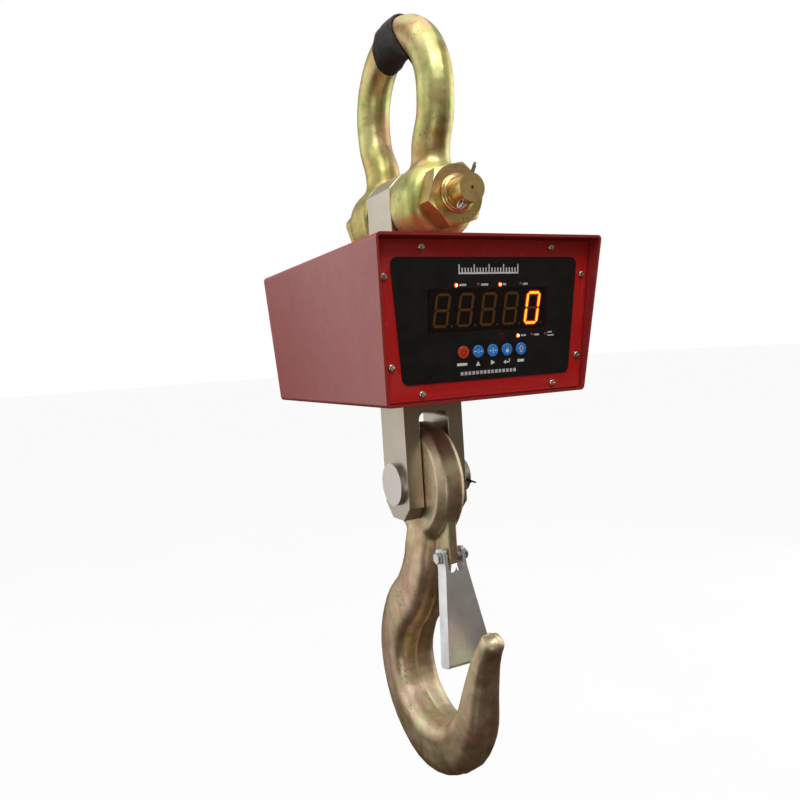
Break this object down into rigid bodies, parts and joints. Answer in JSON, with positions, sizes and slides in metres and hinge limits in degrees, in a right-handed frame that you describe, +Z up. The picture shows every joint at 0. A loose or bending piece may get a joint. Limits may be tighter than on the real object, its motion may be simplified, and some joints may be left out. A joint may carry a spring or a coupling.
{
  "type": "crane scale",
  "caption": "Crane scale: a bow shackle over a load cell in a red sheet-metal housing with a lit digital display, and a latched eye hook below.",
  "frame": {"origin": "bearing point inside the crown of the shackle bow, on the face of its wrap", "axes": "+Z up along the load line, -Y towards the display, +X to the right as seen from the display"},
  "size_m": [0.2892, 0.395, 0.9956],
  "materials": {
    "bow_zinc": "yellow zinc chromate over a forged surface, iridescent",
    "bolt_zinc": "yellow zinc chromate on a machined surface, iridescent",
    "sleeve_rubber": "matt black wrap with scuffs along the bar",
    "bright_steel": "bright zinc plate",
    "cell_nickel": "satin nickel plate over a milled surface",
    "pin_nickel": "satin nickel plate, turned",
    "cover_steel": "satin",
    "lead_jacket": "black jacket",
    "bracket_steel": "satin zinc plate",
    "seal_rubber": "matt black",
    "housing_paint": "deep red powder coat, fine orange peel",
    "panel_paint": "deep red powder coat, fine orange peel",
    "screw_steel": "bright nickel plate",
    "membrane": "black satin polyester",
    "smoked_lens": "dark red-brown smoked window",
    "digit_unlit": "black block with dim amber segments",
    "digit_lit": "black block with glowing amber segments",
    "led_on": "glowing red-orange lens",
    "led_off": "unlit dark red lens",
    "remote_lens": "dark red lens",
    "circuit_board": "green solder mask",
    "spacer_brass": "turned brass",
    "switch_black": "black",
    "key_red": "red domed cap with a white symbol",
    "key_blue": "blue domed cap with a white symbol",
    "gasket_rubber": "matt black foam",
    "battery_case": "dark grey case",
    "strap_web": "black webbing",
    "socket_plastic": "black",
    "hook_zinc": "yellow zinc chromate over a rough forged surface",
    "latch_steel": "bright zinc plate on pressed sheet",
    "spring_steel": "bright wire"
  },
  "bodies": {
    "shackle": {"shackle_bow": "bow_zinc", "bow_sleeve": "sleeve_rubber", "shackle_bolt": "bolt_zinc", "shackle_nut": "bolt_zinc", "shackle_cotter": "bright_steel"},
    "scale": {"load_cell": "cell_nickel", "gauge_covers": "cover_steel", "cell_lead": "lead_jacket", "upper_bracket": "bracket_steel", "lower_bracket": "bracket_steel", "bracket_bolts": "bracket_steel", "upper_seal": "seal_rubber", "lower_seal": "seal_rubber", "housing_shell": "housing_paint", "front_panel": "panel_paint", "front_screws": "screw_steel", "panel_overlay": "membrane", "display_window": "smoked_lens", "digit_1": "digit_unlit", "digit_2": "digit_unlit", "digit_3": "digit_unlit", "digit_4": "digit_unlit", "digit_5": "digit_lit", "lit_leds": "led_on", "dim_leds": "led_off", "remote_window": "remote_lens", "display_board": "circuit_board", "board_spacers": "spacer_brass", "key_switches": "switch_black", "rear_panel": "panel_paint", "rear_screws": "screw_steel", "battery_cover": "panel_paint", "cover_gasket": "gasket_rubber", "cover_thumbscrews": "screw_steel", "battery": "battery_case", "battery_tray": "bracket_steel", "battery_strap": "strap_web", "main_board": "circuit_board", "main_spacers": "bracket_steel", "charger_socket": "socket_plastic", "hook_pin": "pin_nickel", "pin_washer": "bright_steel", "pin_cotter": "bright_steel"},
    "power_key": {"key_power": "key_red"},
    "zero_key": {"key_zero": "key_blue"},
    "tare_key": {"key_tare": "key_blue"},
    "lock_key": {"key_lock": "key_blue"},
    "up_key": {"key_up": "key_blue"},
    "hook": {"hook_body": "hook_zinc", "latch_bolt": "bright_steel", "latch_nut": "bright_steel", "latch_spring": "spring_steel"},
    "latch": {"latch_plate": "latch_steel"}
  },
  "joints": [
    {"name": "shackle_pivot", "type": "hinge", "parent": "shackle", "child": "scale", "pos_m": [0, 0, -0.197], "axis": [0, 1, 0], "range_deg": [-90, 90]},
    {"name": "hook_pivot", "type": "hinge", "parent": "scale", "child": "hook", "pos_m": [0, 0, -0.548], "axis": [1, 0, 0], "range_deg": [-75, 75]},
    {"name": "latch_pivot", "type": "hinge", "parent": "hook", "child": "latch", "pos_m": [0, -0.056, -0.64], "axis": [1, 0, 0], "range_deg": [0, 38], "stiffness_Nm_per_rad": 0.4, "springref_deg": -34.38},
    {"name": "key_power_press", "type": "slide", "parent": "scale", "child": "power_key", "axis": [0, 0.9963, 0.0863], "range_m": [0, 0.0005], "stiffness_N_per_m": 900, "springref_m": -0.0004},
    {"name": "key_zero_press", "type": "slide", "parent": "scale", "child": "zero_key", "axis": [0, 0.9963, 0.0863], "range_m": [0, 0.0005], "stiffness_N_per_m": 900, "springref_m": -0.0004},
    {"name": "key_tare_press", "type": "slide", "parent": "scale", "child": "tare_key", "axis": [0, 0.9963, 0.0863], "range_m": [0, 0.0005], "stiffness_N_per_m": 900, "springref_m": -0.0004},
    {"name": "key_lock_press", "type": "slide", "parent": "scale", "child": "lock_key", "axis": [0, 0.9963, 0.0863], "range_m": [0, 0.0005], "stiffness_N_per_m": 900, "springref_m": -0.0004},
    {"name": "key_up_press", "type": "slide", "parent": "scale", "child": "up_key", "axis": [0, 0.9963, 0.0863], "range_m": [0, 0.0005], "stiffness_N_per_m": 900, "springref_m": -0.0004}
  ]
}
